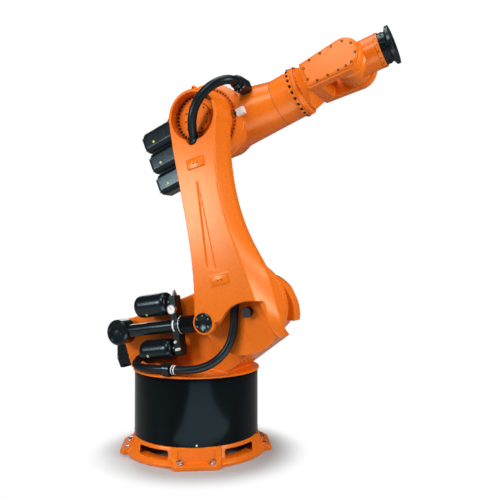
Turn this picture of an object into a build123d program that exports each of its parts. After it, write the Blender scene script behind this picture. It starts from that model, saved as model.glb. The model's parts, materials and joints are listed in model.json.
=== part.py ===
from build123d import *
import math
import os

os.makedirs("parts", exist_ok=True)

# Rest pose of the axes in degrees
turn = 30.8  # column, clockwise seen from above
lean = 13.56  # link arm, back from upright
rise = 21.6  # forearm, above level
dip = 4.2  # hand, below the forearm's line

# Axis layout
shoulder_out = 500
shoulder_rise = 475  # above the column's floor
link_length = 1300
roll_drop = 55
wrist_reach = 1025
flange_reach = 290

# Clearances
seat_gap = 0.3
running_gap = 5

# Foot ring and drum
drum_radius = 445
drum_wall = 25
drum_low = 122
drum_high = 565
drum_deck = 25
drum_edge = 6
ring_inner = 300
ring_outer = 390
skirt_radius = 505
skirt_inner = 400
skirt_lip = 20
skirt_waist = (472, 54)
foot_count = 4
foot_reach = 534
foot_root = 320
foot_front = 275
foot_plate = 28
foot_shoulder = 10
bay_width = 250
bay_back = 456
bay_lean = 16
anchor_reach = 480
anchor_spread = 224
anchor_hole = 27
fork_inner = 187
fork_outer = 382
fork_low = 42
fork_high = 95
fork_corner = 10

# Column
column_floor = drum_high + running_gap
shoulder_height = column_floor + shoulder_rise
column_flange_radius = 456
column_flange = 18
column_flange_edge = 14
flange_crown = (330, 32)
column_half = 215
column_rear = -125
column_back_top = (-140, shoulder_height - 15)
column_nape = (250, shoulder_height + 135)
column_round = 60
column_far = 150
column_chin = (370, column_floor + 34)
column_throat = (672, shoulder_height - 217)
column_toe = 335
tray_reach = 505
tray_half = 235
tray_tip_half = 125
tray_round = 30
housing_radius = 285
housing_step = -150
housing_root_radius = 270
housing_far = 170
housing_far_radius = 212
shoulder_boss_radius = 200
hood_near = -175
hood_far = -80
hood_crown = (190, 195)
hood_brow = (322, 50)
hood_tip = (338, -87)
hood_lip = (280, -83)
hood_root = (140, 135)
web_far = -105
web_root = -422
trunnion_out = -430
trunnion_rise = 253  # above the column's flange
trunnion_height = column_floor + column_flange + trunnion_rise
trunnion_depth = -320
trunnion_eye = 90
trunnion_pin_radius = 36
trunnion_cap_depth = 18
trunnion_cap_step = 12

# Motors: share of the width cut from the corners, flange plate and end cap
motor_corner = 0.2
motor_plate = 18
motor_plate_corner = 14
motor_cap = 22
motor_cap_inset = 10
motor_cap_edge = 6

# Column fittings
slew_motor_out = -290
slew_motor_side = 150
slew_gear_radius = 100
slew_gear_height = 130
slew_motor_across = 165
slew_motor_length = 300
shoulder_gear_radius = 200
shoulder_gear_depth = 45
shoulder_motor_offset = -50
shoulder_motor_across = 180
shoulder_motor_length = 265
box_front = -440
box_rear = -562
box_near = -205
box_far = 60
box_low_rear = -532
box_drop = 26
box_knee = 40
box_height = 165
box_round = 10
clamp_place = (43, -446, 630)
clamp_width = 46
clamp_wall = 12

# Link arm
link_near = -400
link_crease = -290
link_inner = -230
slot_near = -352
slot_far = -288
link_stations = [share * link_length for share in (-0.046, 0.1, 0.2885, 0.582, 0.769, 0.936)]
link_near_front = (178, 150, 112, 80, 109, 162)
link_crease_front = (258, 246, 177, 126, 146, 190)
link_tip = ((236, -250), (262, -140))
link_rear = (-303, -261, -225, -204)
slot_floor = -240
slot_rear = -340
slot_steps = ((-200, 110), (-150, 210), (60, 210), (130, 120), (165, 20), (200, -120))
arch_line = ((-152, -92), (-107, -60), (-35, 0), (75, 24), (190, 2), (300, -62))
valley_depth = 5
valley_top = (-57, 928)
valley_base = ((-120, 300), (-58, 268))
lug_base = (-36, 44)
lug_tip = (-6, 10)
lug_height = 62
lug_near = -300
lug_thickness = 40
lug_hole = 11
head_radius = 182
head_root_radius = 200
head_bore = 162
head_floor = -310
disc_radius = 315
prong_pin = (-230, -48)
prong_radius = 80
link_pin_radius = 40
pad_size = (128, 62, 5)
pad_places = ((-44, link_length - 315), (-46, 196))
lobe_place = (-36, link_length - 142)
lobe_radius = 46

# Elbow pieces inside the link's head
gear_ring_outer = 158
gear_ring_inner = 108
gear_ring_depth = 14
elbow_cover_radius = 104
elbow_cover_depth = 26

# Balancer pin and hose connector
pin_cover_radius = 65
pin_cover_depth = 12
connector_place = (54, -42)
connector_radius = 34
connector_depth = 46

# Forearm
hub_radius = 240
hub_near = link_inner + running_gap
hub_rim_radius = 277
hub_rim = (-172, -110)
hub_far = 220
hub_far_radius = 172
cone_start = 110
cone_start_radius = 214
cone_start_drop = 0
tube_start = 485
tube_radius = 161
tube_flange = 614
tube_flange_radius = 170
tube_end = 646
flange_pockets = 24
flange_pocket_radius = 11
flange_pocket_depth = 22
hub_ring_radius = 205
hub_ring_inner = 150
hub_ring_depth = 20
carrier_front = -120
carrier_rear = -300
carrier_near = -150
carrier_far = 70
carrier_low = -292
carrier_high = 210
carrier_round = 20
wrist_motor_across = 156
wrist_motor_length = 278
wrist_motor_heights = (126, -44, -214)
wrist_motor_side = -60
elbow_gear_radius = 138
elbow_gear_depth = 35
elbow_motor_offset = (-50, 40)
elbow_motor_across = 180
elbow_motor_length = 240
buffer_place = (262, -196, -54)
buffer_size = (60, 44, 46)
bracket_place = (333, -196, 104)
bracket_size = (88, 112, 104)
bracket_round = 34

# Wrist, hand and tool flange, measured from the wrist centre
wrist_flange_radius = 170
wrist_flange = 26
wrist_neck_radius = 152
wrist_neck = 16
wrist_neck_corner = 149
wrist_body_start = -285
wrist_body_corner = 70
cheek_radius = 110
cheek_far_radius = 126
cheek_root_high = 92
cheek_root_low = -90
cheek_half = 196
cheek_round = 12
fork_half = 120
fork_apex = -150
fork_flank = (-212, 107)
cover_inset = 14
cover_depth = 12
cover_edge = 6
hand_barrel_radius = 122
hand_half = 115
hand_edge = 14
hand_boss_radius = 60
hand_nose_radius = 112
hand_nose_end = 214
flange_neck_radius = 104
flange_waist_radius = 97
flange_rim_radius = 125
flange_flare = 34
flange_rim = 20
flange_circle = 200
flange_holes = 12
flange_hole = 14
flange_bore = 100
flange_bore_depth = 16

# Counterbalance, measured along the cylinder from its trunnion
tube_bore = 30
bore_start = 44
barrel_radius = 45
eye_half = 48
manifold_start = 452
manifold_end = 500
manifold_half_height = 205
manifold_half_depth = 38
manifold_corner = 16
manifold_collar = 53
head_end = 524
head_outer = 60
bottle_offset = 158
bottle_radius = 82
bottle_start = 160
bottle_dome = 62
bottle_neck = 20
gauge_height = 112
gauge_radius = 33
gauge_depth = 26
rod_radius = 27
rod_start = 125
rod_eye_radius = 55
rod_eye_half = 25
bellows_end = 628
bellows_radius = 60
bellows_root = 48
bellows_folds = 5

# Hoses: share of each leg that a bend may take, radii and routes
bend_share = 0.45
lower_hose_radius = 28
lower_hose_route = [
    (446, -320, 1247), (472, -320, 1140), (476, -320, 1030), (471, -321, 928), (457, -326, 840),
    (424, -340, 764), (370, -362, 700), (300, -392, 656), (215, -422, 635), (130, -440, 630),
    (43, -446, 630), (-70, -440, 631), (-175, -420, 632), (-258, -380, 639), (-296, -318, 656),
    (-296, -264, 672), (-296, -column_half - seat_gap, 672),
]
upper_hose_radius = 31
upper_hose_route = [
    (-36, -358, 1126.5), (-36, -368, 1166), (-6, -416, 1236), (46, -448, 1316), (122, -450, 1388),
    (204, -428, 1435), (276, -376, 1459), (307.7, -312, 1463), (307.7, -252.3, 1463),
]


def side(depth):
    return Plane.XZ.offset(-depth)


def save(part, name, place):
    placed = part.moved(place)
    placed.label = name
    export_step(placed, f"parts/{name}.step")


def motor(across, length):
    with BuildPart() as body:
        with BuildSketch() as section:
            Rectangle(across, across)
            chamfer(section.vertices(), length=motor_corner * across)
        extrude(amount=length - motor_cap)
        with BuildSketch():
            RectangleRounded(across, across, motor_plate_corner)
        extrude(amount=motor_plate)
        with BuildSketch(Plane.XY.offset(length - motor_cap)) as end:
            Rectangle(across - 2 * motor_cap_inset, across - 2 * motor_cap_inset)
            chamfer(end.vertices(), length=motor_corner * across)
        extrude(amount=motor_cap)
        chamfer(body.faces().sort_by(Axis.Z)[-1].edges(), length=motor_cap_edge)
    return body.part


def hose(route, radius):
    points = [Vector(*point) for point in route]
    bends = []
    for before, corner, after in zip(points, points[1:], points[2:]):
        run_in = corner - before
        run_out = after - corner
        half_turn = math.radians(run_in.get_angle(run_out)) / 2
        bends.append(bend_share * min(run_in.length, run_out.length) / math.tan(half_turn))
    with BuildPart() as tube:
        with BuildLine() as path:
            FilletPolyline(*points, radius=bends)
        with BuildSketch(Plane(origin=path.line @ 0, z_dir=path.line % 0)):
            Circle(radius)
        sweep()
    print("bend radii", [round(bend) for bend in bends])
    return tube.part


def cheek_outline(radius):
    with BuildSketch() as outline:
        with BuildLine():
            Polyline(
                (wrist_body_start, cheek_root_low),
                (wrist_body_start, cheek_root_high),
                (0, radius),
                (0, -radius),
                close=True,
            )
        make_face()
        Circle(radius)
    return outline.sketch


# Where each body stands at rest
column_at = Location((0, 0, 0), (0, 0, -turn))
link_at = column_at * Location((shoulder_out, 0, shoulder_height), (0, -lean, 0))
forearm_at = link_at * Location((0, 0, link_length), (0, lean - rise, 0))
wrist_at = forearm_at * Location((wrist_reach, 0, -roll_drop))
hand_at = wrist_at * Location((0, 0, 0), (0, dip, 0))
lean_sine = math.sin(math.radians(lean))
lean_cosine = math.cos(math.radians(lean))
rod_run = shoulder_out + prong_pin[0] * lean_cosine - prong_pin[1] * lean_sine - trunnion_out
rod_climb = shoulder_height + prong_pin[0] * lean_sine + prong_pin[1] * lean_cosine - trunnion_height
swing = math.degrees(math.atan2(rod_climb, rod_run))
rod_reach = math.hypot(rod_climb, rod_run)
balancer_at = column_at * Location((trunnion_out, trunnion_depth, trunnion_height), (0, -swing, 0))
base_at = Location()

# Foot ring: conical skirt with four anchor feet and two fork pockets
with BuildPart() as foot:
    with BuildSketch(Plane.YZ):
        with BuildLine():
            Polyline(
                (-skirt_inner, 0),
                (-foot_reach, 0),
                (-foot_reach, foot_plate),
                (-skirt_radius, foot_plate + foot_shoulder),
                (-skirt_waist[0], skirt_waist[1]),
                (-drum_radius, drum_low),
                (-skirt_inner, drum_low),
                close=True,
            )
        make_face()
    extrude(amount=foot_root / 2, both=True)
    with BuildSketch():
        with BuildLine():
            Polyline(
                (-foot_root / 2, -skirt_inner),
                (-foot_root / 2, -skirt_radius),
                (-foot_front / 2, -foot_reach),
                (foot_front / 2, -foot_reach),
                (foot_root / 2, -skirt_radius),
                (foot_root / 2, -skirt_inner),
                close=True,
            )
        make_face()
    extrude(amount=drum_low, mode=Mode.INTERSECT)

with BuildPart() as bay:
    with BuildSketch(Plane.YZ):
        with BuildLine():
            Polyline(
                (-foot_reach, foot_plate),
                (-bay_back, foot_plate),
                (-bay_back + bay_lean, drum_low),
                (-foot_reach, drum_low),
                close=True,
            )
        make_face()
    extrude(amount=bay_width / 2, both=True)

with BuildPart() as base_foot:
    with BuildSketch(Plane.XZ):
        with BuildLine():
            Polyline(
                (skirt_inner, 0),
                (skirt_radius, 0),
                (skirt_radius, skirt_lip),
                skirt_waist,
                (drum_radius, drum_low),
                (skirt_inner, drum_low),
                close=True,
            )
        make_face()
    revolve(axis=Axis.Z)
    for quarter in range(foot_count):
        add(foot.part, rotation=(0, 0, quarter * 360 / foot_count))
    for quarter in range(foot_count):
        add(bay.part, rotation=(0, 0, quarter * 360 / foot_count), mode=Mode.SUBTRACT)
    with BuildSketch():
        with PolarLocations(0, foot_count):
            with Locations((anchor_reach, anchor_spread / 2), (anchor_reach, -anchor_spread / 2)):
                Circle(anchor_hole / 2)
    extrude(amount=foot_plate, mode=Mode.SUBTRACT)
    with BuildSketch(side(-foot_reach)):
        fork_middle = (fork_inner + fork_outer) / 2
        fork_height = (fork_low + fork_high) / 2
        with Locations((-fork_middle, fork_height), (fork_middle, fork_height)):
            RectangleRounded(fork_outer - fork_inner, fork_high - fork_low, fork_corner)
    extrude(amount=-2 * foot_reach, mode=Mode.SUBTRACT)
save(base_foot.part, "base_foot", base_at)

# Drum shell with its deck
with BuildPart() as base_drum:
    with BuildSketch(Plane.XZ):
        with BuildLine():
            Polyline(
                (drum_radius - drum_wall, drum_low),
                (drum_radius, drum_low),
                (drum_radius, drum_high - drum_edge),
                (drum_radius - drum_edge, drum_high),
                (ring_inner, drum_high),
                (ring_inner, drum_high - drum_deck),
                (drum_radius - drum_wall, drum_high - drum_deck),
                close=True,
            )
        make_face()
    revolve(axis=Axis.Z)
save(base_drum.part, "base_drum", base_at)

with BuildPart() as slewing_ring:
    with BuildSketch(Plane.XY.offset(drum_high)):
        Circle(ring_outer)
        Circle(ring_inner, mode=Mode.SUBTRACT)
    extrude(amount=running_gap - seat_gap)
save(slewing_ring.part, "slewing_ring", base_at)

# Column: turning flange with its rear tray, body up to the shoulder housing, hood and rear bracket
with BuildPart() as shoulder_housing:
    with BuildSketch():
        with BuildLine():
            Polyline(
                (0, -column_half),
                (housing_radius, -column_half),
                (housing_radius, housing_step),
                (housing_root_radius, housing_step),
                (housing_far_radius, housing_far),
                (0, housing_far),
                close=True,
            )
        make_face()
    revolve(axis=Axis.Y)
    with BuildSketch(side(-column_half)):
        Circle(shoulder_boss_radius)
    extrude(amount=-link_inner - column_half - seat_gap)
    with BuildSketch(side(hood_far)):
        with BuildLine():
            ThreePointArc(hood_crown, hood_brow, hood_tip)
            Polyline(hood_tip, hood_lip, hood_root, hood_crown)
        make_face()
    extrude(amount=hood_far - hood_near)

with BuildPart() as column:
    with BuildSketch(Plane.XZ):
        with BuildLine():
            Polyline(
                (0, column_floor),
                (column_flange_radius, column_floor),
                (column_flange_radius, column_floor + column_flange_edge),
                (column_flange_radius - column_flange_edge, column_floor + column_flange),
                (flange_crown[0], column_floor + flange_crown[1]),
                (0, column_floor + flange_crown[1]),
                close=True,
            )
        make_face()
    revolve(axis=Axis.Z)
    with BuildSketch(Plane.XY.offset(column_floor)) as tray:
        with BuildLine():
            Polyline(
                (0, tray_half),
                (-tray_reach + tray_tip_half, tray_half),
                (-tray_reach, tray_tip_half),
                (-tray_reach, -tray_tip_half),
                (-tray_reach + tray_tip_half, -tray_half),
                (0, -tray_half),
                close=True,
            )
        make_face()
        fillet(tray.vertices().sort_by(Axis.X)[:4], radius=tray_round)
    extrude(amount=column_flange)
    with BuildSketch(side(column_far)) as body_outline:
        with BuildLine():
            Polyline(
                (column_rear, column_floor),
                (column_toe, column_floor),
                column_chin,
                column_throat,
                (shoulder_out, shoulder_height),
                column_nape,
                column_back_top,
                close=True,
            )
        make_face()
        fillet(body_outline.vertices().sort_by(Axis.Y)[-3:], radius=column_round)
    extrude(amount=column_far + column_half)
    with Locations((shoulder_out, 0, shoulder_height)):
        add(shoulder_housing.part)
    with BuildSketch(side(web_far)):
        with BuildLine():
            Polyline(
                (column_rear + running_gap, column_floor),
                (column_rear + running_gap, column_back_top[1]),
                (trunnion_out, trunnion_height + trunnion_eye),
                (trunnion_out - trunnion_eye, trunnion_height),
                (web_root, column_floor),
                close=True,
            )
        make_face()
        with Locations((trunnion_out, trunnion_height)):
            Circle(trunnion_eye)
    extrude(amount=web_far + column_half)
save(column.part, "column", column_at)

# Pivot pin of the counterbalance, with its round cap
with BuildPart() as trunnion_pin:
    with BuildSketch(side(-column_half)):
        with Locations((trunnion_out, trunnion_height)):
            Circle(trunnion_pin_radius)
    extrude(amount=-column_half - trunnion_depth + eye_half)
save(trunnion_pin.part, "trunnion_pin", column_at)

with BuildPart() as trunnion_cap:
    with BuildSketch(side(trunnion_depth - eye_half - seat_gap)):
        with Locations((trunnion_out, trunnion_height)):
            Circle(trunnion_eye)
    extrude(amount=trunnion_cap_depth)
    chamfer(trunnion_cap.faces().sort_by(Axis.Y)[0].edges(), length=trunnion_cap_step)
save(trunnion_cap.part, "trunnion_cap", column_at)

# Motors on the column
slew_top = column_floor + column_flange
slew_foot = column_floor + flange_crown[1]
with BuildPart() as slew_motor:
    with BuildSketch():
        Circle(slew_gear_radius)
    extrude(amount=slew_gear_height)
    with Locations((0, 0, slew_gear_height)):
        add(motor(slew_motor_across, slew_motor_length))
save(slew_motor.part, "slew_motor", column_at * Location((slew_motor_out, slew_motor_side, slew_foot)))

with BuildPart() as shoulder_gear:
    with BuildSketch(side(housing_far)):
        with Locations((shoulder_out, shoulder_height)):
            Circle(shoulder_gear_radius)
    extrude(amount=-shoulder_gear_depth)
save(shoulder_gear.part, "shoulder_gear", column_at)

shoulder_motor_at = Location(
    (shoulder_out + shoulder_motor_offset, housing_far + shoulder_gear_depth, shoulder_height), (-90, 0, 0)
)
save(motor(shoulder_motor_across, shoulder_motor_length), "shoulder_motor", column_at * shoulder_motor_at)

# Cable box on the rear tray, hanging over its end
with BuildPart() as cable_box:
    with BuildSketch(side(box_far)) as box_outline:
        with BuildLine():
            Polyline(
                (box_front, slew_top),
                (-tray_reach, slew_top),
                (-tray_reach, slew_top - box_drop),
                (box_low_rear, slew_top - box_drop),
                (box_rear, slew_top + box_knee),
                (box_rear, slew_top + box_height),
                (box_front, slew_top + box_height),
                close=True,
            )
        make_face()
        fillet(box_outline.vertices().sort_by(Axis.X)[:3], radius=box_round)
    extrude(amount=box_far - box_near)
    add(column.part, mode=Mode.SUBTRACT)
save(cable_box.part, "cable_box", column_at)

# Link arm: tapered casting with a bored head, a shoulder disc and the balancer prong
rear_points = list(zip(link_rear, link_stations))[::-1]
with BuildPart() as link_arm:
    with BuildSketch(side(link_near)):
        with BuildLine():
            near_front = Spline(*zip(link_near_front, link_stations))
            near_head = ThreePointArc(
                near_front @ 1, (0, link_length + head_radius), (-head_radius, link_length))
            near_rear = Spline(near_head @ 1, *rear_points)
            Line(near_rear @ 1, near_front @ 0)
        make_face()
    with BuildSketch(side(link_crease)):
        with BuildLine():
            crease_front = Spline(*link_tip, *zip(link_crease_front, link_stations))
            crease_head = ThreePointArc(
                crease_front @ 1, (0, link_length + head_root_radius), (-head_radius, link_length))
            crease_rear = Spline(crease_head @ 1, *rear_points)
            Line(crease_rear @ 1, crease_front @ 0)
        make_face()
    loft(ruled=True)
    extrude(link_arm.faces().sort_by(Axis.Y)[-1], amount=link_inner - link_crease)
    with BuildSketch(side(slot_far)):
        with BuildLine():
            Polyline(
                (slot_rear, slot_floor), (slot_rear, slot_steps[0][1]), *slot_steps,
                (slot_steps[-1][0], slot_floor), close=True)
        make_face()
    extrude(amount=slot_far - slot_near, mode=Mode.SUBTRACT)
    with BuildSketch(side(slot_near)):
        with BuildLine():
            arch = Spline(*arch_line)
            Polyline(arch @ 1, (arch_line[-1][0], slot_floor), (arch_line[0][0], slot_floor), arch @ 0)
        make_face()
    extrude(amount=slot_near - link_near, mode=Mode.SUBTRACT)
    with BuildSketch(side(slot_near)):
        with Locations(prong_pin):
            Circle(prong_radius)
    extrude(amount=slot_near - link_near)
    with BuildSketch(side(link_inner)):
        Circle(disc_radius)
    extrude(amount=link_inner - slot_far)
    with BuildSketch(side(head_floor)):
        with Locations((0, link_length)):
            Circle(head_bore)
        with Locations(lobe_place):
            Circle(lobe_radius)
    extrude(amount=head_floor - link_near, mode=Mode.SUBTRACT)
    with BuildSketch(side(link_near)):
        with BuildLine():
            Polyline(valley_top, *valley_base, close=True)
        make_face()
    extrude(amount=-valley_depth, mode=Mode.SUBTRACT)
    with BuildSketch(side(link_near)):
        with Locations(*pad_places):
            Rectangle(pad_size[0], pad_size[1])
    extrude(amount=pad_size[2])
    with BuildSketch(side(link_near)):
        with Locations(prong_pin):
            Circle(link_pin_radius)
    extrude(amount=link_near - slot_near, mode=Mode.SUBTRACT)
    with BuildSketch(side(lug_near)):
        with BuildLine():
            lug_foot = link_length + head_radius - lug_hole
            lug_top = link_length + head_radius + lug_height
            Polyline(
                (lug_base[0], lug_foot), (lug_tip[0], lug_top),
                (lug_tip[1], lug_top), (lug_base[1], lug_foot), close=True)
        make_face()
        with Locations((0, lug_top - 2 * lug_hole)):
            Circle(lug_hole, mode=Mode.SUBTRACT)
    extrude(amount=-lug_thickness)
save(link_arm.part, "link_arm", link_at)

with BuildPart() as elbow_gear_ring:
    with BuildSketch(side(head_floor)):
        with Locations((0, link_length)):
            Circle(gear_ring_outer)
            Circle(gear_ring_inner, mode=Mode.SUBTRACT)
    extrude(amount=gear_ring_depth)
save(elbow_gear_ring.part, "elbow_gear_ring", link_at)

with BuildPart() as elbow_cover:
    with BuildSketch(side(head_floor)):
        with Locations((0, link_length)):
            Circle(elbow_cover_radius)
    extrude(amount=elbow_cover_depth)
    chamfer(elbow_cover.faces().sort_by(Axis.Y)[0].edges(), length=gear_ring_depth / 2)
save(elbow_cover.part, "elbow_cover", link_at)

with BuildPart() as balancer_pin:
    with BuildSketch(side(slot_near)):
        with Locations(prong_pin):
            Circle(link_pin_radius)
    extrude(amount=slot_near - link_near)
    with BuildSketch(side(link_near)):
        with Locations(prong_pin):
            Circle(pin_cover_radius)
    extrude(amount=pin_cover_depth)
save(balancer_pin.part, "balancer_pin", link_at)

with BuildPart() as hose_connector:
    with BuildSketch(side(slot_far)):
        with Locations(connector_place):
            Circle(connector_radius)
    extrude(amount=connector_depth)
save(hose_connector.part, "hose_connector", link_at)

# Forearm: elbow hub, cone and roll tube
hub_face = hub_near + hub_ring_depth
with BuildPart() as forearm:
    with BuildSketch():
        with BuildLine():
            Polyline(
                (0, hub_face),
                (hub_radius, hub_face),
                (hub_rim_radius, hub_rim[0]),
                (hub_rim_radius, hub_rim[1]),
                (hub_far_radius, hub_far),
                (0, hub_far),
                close=True,
            )
        make_face()
    revolve(axis=Axis.Y)
    with BuildSketch(Plane.YZ.offset(cone_start)):
        with Locations((0, -cone_start_drop)):
            Circle(cone_start_radius)
    with BuildSketch(Plane.YZ.offset(tube_start)):
        with Locations((0, -roll_drop)):
            Circle(tube_radius)
    loft()
    with BuildSketch(Plane.YZ.offset(tube_start)):
        with Locations((0, -roll_drop)):
            Circle(tube_radius)
    extrude(amount=tube_end - tube_start)
    with BuildSketch(Plane.YZ.offset(tube_flange)):
        with Locations((0, -roll_drop)):
            Circle(tube_flange_radius)
    extrude(amount=tube_end - tube_flange)
    with BuildSketch(Plane.YZ.offset(tube_flange)):
        with Locations((0, -roll_drop)):
            with PolarLocations(tube_flange_radius, flange_pockets):
                Circle(flange_pocket_radius)
    extrude(amount=flange_pocket_depth, mode=Mode.SUBTRACT)
save(forearm.part, "forearm", forearm_at)

with BuildPart() as elbow_hub_ring:
    with BuildSketch(side(hub_face)):
        Circle(hub_ring_radius)
    extrude(amount=hub_ring_depth)
    with BuildSketch(side(hub_near)):
        Circle(hub_ring_inner)
    extrude(amount=running_gap - seat_gap)
    add(forearm.part, mode=Mode.SUBTRACT)
save(elbow_hub_ring.part, "elbow_hub_ring", forearm_at)

with BuildPart() as motor_carrier:
    with BuildSketch(side(carrier_far)):
        with Locations(((carrier_front + carrier_rear) / 2, (carrier_low + carrier_high) / 2)):
            RectangleRounded(carrier_front - carrier_rear, carrier_high - carrier_low, carrier_round)
    extrude(amount=carrier_far - carrier_near)
    add(forearm.part, mode=Mode.SUBTRACT)
save(motor_carrier.part, "motor_carrier", forearm_at)

for name, height in zip(("upper", "middle", "lower"), wrist_motor_heights):
    motor_at = Location((carrier_rear, wrist_motor_side, height), (0, -90, 0))
    save(motor(wrist_motor_across, wrist_motor_length), f"wrist_motor_{name}", forearm_at * motor_at)

with BuildPart() as elbow_motor:
    with BuildSketch():
        Circle(elbow_gear_radius)
    extrude(amount=elbow_gear_depth)
    with Locations((elbow_motor_offset[0], -elbow_motor_offset[1], elbow_gear_depth)):
        add(motor(elbow_motor_across, elbow_motor_length))
save(elbow_motor.part, "elbow_motor", forearm_at * Location((0, hub_far, 0), (-90, 0, 0)))

with BuildPart() as stop_buffer:
    with Locations(buffer_place):
        Box(*buffer_size)
    add(forearm.part, mode=Mode.SUBTRACT)
save(stop_buffer.part, "stop_buffer", forearm_at)

with BuildPart() as hose_bracket:
    with Locations(bracket_place):
        Box(*bracket_size)
    fillet(hose_bracket.edges().filter_by(Axis.Y), radius=bracket_round)
    add(forearm.part, mode=Mode.SUBTRACT)
save(hose_bracket.part, "hose_bracket", forearm_at)

# Wrist: roll flange and fork for the hand
wrist_back = tube_end - wrist_reach + seat_gap
with BuildPart() as wrist_housing:
    with BuildSketch(Plane.YZ.offset(wrist_back)):
        Circle(wrist_flange_radius)
    extrude(amount=wrist_flange)
    with BuildSketch(Plane.YZ.offset(wrist_back + wrist_flange)):
        Circle(wrist_neck_radius)
    extrude(amount=wrist_neck)
    with BuildSketch(Plane.YZ.offset(wrist_back + wrist_flange + wrist_neck)):
        RectangleRounded(2 * wrist_neck_radius, 2 * wrist_neck_radius, wrist_neck_corner)
    with BuildSketch(Plane.YZ.offset(wrist_body_start)):
        with Locations((0, (cheek_root_high + cheek_root_low) / 2)):
            RectangleRounded(2 * cheek_half, cheek_root_high - cheek_root_low, wrist_body_corner)
    loft(ruled=True)
    for face, outer, radius in ((-1, 0, cheek_radius), (1, -1, cheek_far_radius)):
        with BuildPart(mode=Mode.PRIVATE) as cheek:
            with BuildSketch(side(face * cheek_half)):
                add(cheek_outline(radius))
            extrude(amount=face * cheek_half)
            fillet(cheek.faces().sort_by(Axis.Y)[outer].edges(), radius=cheek_round)
        add(cheek.part)
    with BuildSketch(side(fork_half)):
        with BuildLine():
            Polyline(
                (fork_apex, 0),
                fork_flank,
                (fork_flank[0], cheek_half),
                (cheek_half, cheek_half),
                (cheek_half, -cheek_half),
                (fork_flank[0], -cheek_half),
                (fork_flank[0], -fork_flank[1]),
                close=True,
            )
        make_face()
    extrude(amount=2 * fork_half, mode=Mode.SUBTRACT)
save(wrist_housing.part, "wrist_housing", wrist_at)

for name, face, outer, radius in (("near", -1, 0, cheek_radius), ("far", 1, -1, cheek_far_radius)):
    with BuildPart() as wrist_cover:
        with BuildSketch(side(face * cheek_half)):
            add(cheek_outline(radius))
            offset(amount=-cover_inset)
        extrude(amount=-face * cover_depth)
        chamfer(wrist_cover.faces().sort_by(Axis.Y)[outer].edges(), length=cover_edge)
    save(wrist_cover.part, f"wrist_cover_{name}", wrist_at)

with BuildPart() as hand:
    with BuildSketch(side(hand_half)):
        Circle(hand_barrel_radius)
    extrude(amount=2 * hand_half)
    chamfer(hand.edges(), length=hand_edge)
    with BuildSketch(side(fork_half - seat_gap)):
        Circle(hand_boss_radius)
    extrude(amount=2 * (fork_half - seat_gap))
    with BuildSketch(Plane.YZ):
        Circle(hand_nose_radius)
    extrude(amount=hand_nose_end)
save(hand.part, "hand", hand_at)

with BuildPart() as tool_flange:
    with BuildSketch(Plane.XZ):
        with BuildLine():
            Polyline(
                (hand_nose_end + seat_gap, 0),
                (hand_nose_end + seat_gap, flange_neck_radius),
                (flange_reach - flange_flare, flange_waist_radius),
                (flange_reach - flange_rim, flange_rim_radius),
                (flange_reach, flange_rim_radius),
                (flange_reach, 0),
                close=True,
            )
        make_face()
    revolve(axis=Axis.X)
    with BuildSketch(Plane.YZ.offset(flange_reach)):
        Circle(flange_bore / 2)
    extrude(amount=-flange_bore_depth, mode=Mode.SUBTRACT)
    with BuildSketch(Plane.YZ.offset(flange_reach)):
        with PolarLocations(flange_circle / 2, flange_holes):
            Circle(flange_hole / 2)
    extrude(amount=-flange_rim, mode=Mode.SUBTRACT)
save(tool_flange.part, "tool_flange", hand_at)

# Counterbalance: hollow barrel with trunnion eye, gland, gas bottles, gauge, bellows and rod
with BuildPart() as balancer_cylinder:
    with BuildSketch(Plane.YZ):
        Circle(barrel_radius)
    extrude(amount=manifold_end)
    with BuildSketch(side(eye_half)):
        Circle(trunnion_eye)
    extrude(amount=2 * eye_half)
    with BuildSketch(side(eye_half)):
        Circle(trunnion_pin_radius + seat_gap)
    extrude(amount=2 * eye_half, mode=Mode.SUBTRACT)
    with BuildSketch(Plane.YZ.offset(bore_start)):
        Circle(tube_bore)
    extrude(amount=manifold_end - bore_start, mode=Mode.SUBTRACT)
save(balancer_cylinder.part, "balancer_cylinder", balancer_at)

with BuildPart() as manifold:
    with BuildSketch(Plane.YZ.offset(manifold_start)):
        RectangleRounded(2 * manifold_half_depth, 2 * manifold_half_height, manifold_corner)
        Circle(manifold_collar)
        Circle(barrel_radius, mode=Mode.SUBTRACT)
    extrude(amount=manifold_end - manifold_start)
save(manifold.part, "manifold", balancer_at)

with BuildPart() as balancer_head:
    with BuildSketch(Plane.YZ.offset(manifold_end)):
        Circle(head_outer)
        Circle(rod_radius + seat_gap, mode=Mode.SUBTRACT)
    extrude(amount=head_end - manifold_end)
save(balancer_head.part, "balancer_head", balancer_at)

with BuildPart() as accumulator:
    with BuildSketch(Plane.XZ):
        with BuildLine():
            shoulder = bottle_start + bottle_dome
            base = manifold_start - bottle_neck - bottle_dome
            Line((bottle_start, 0), (manifold_start, 0))
            Polyline((manifold_start, 0), (manifold_start, bottle_neck * 2),
                     (manifold_start - bottle_neck, bottle_neck * 2))
            Spline((manifold_start - bottle_neck, bottle_neck * 2), (base, bottle_radius),
                   tangents=((0, 1), (-1, 0)))
            Line((base, bottle_radius), (shoulder, bottle_radius))
            Spline((shoulder, bottle_radius), (bottle_start, 0), tangents=((-1, 0), (0, -1)))
        make_face()
    revolve(axis=Axis.X)
save(accumulator.part, "accumulator_upper", balancer_at * Location((0, 0, bottle_offset)))
save(accumulator.part, "accumulator_lower", balancer_at * Location((0, 0, -bottle_offset)))

with BuildPart() as pressure_gauge:
    with BuildSketch(side(-manifold_half_depth)):
        with Locations(((manifold_start + manifold_end) / 2, gauge_height)):
            Circle(gauge_radius)
    extrude(amount=gauge_depth)
save(pressure_gauge.part, "pressure_gauge", balancer_at)

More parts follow.
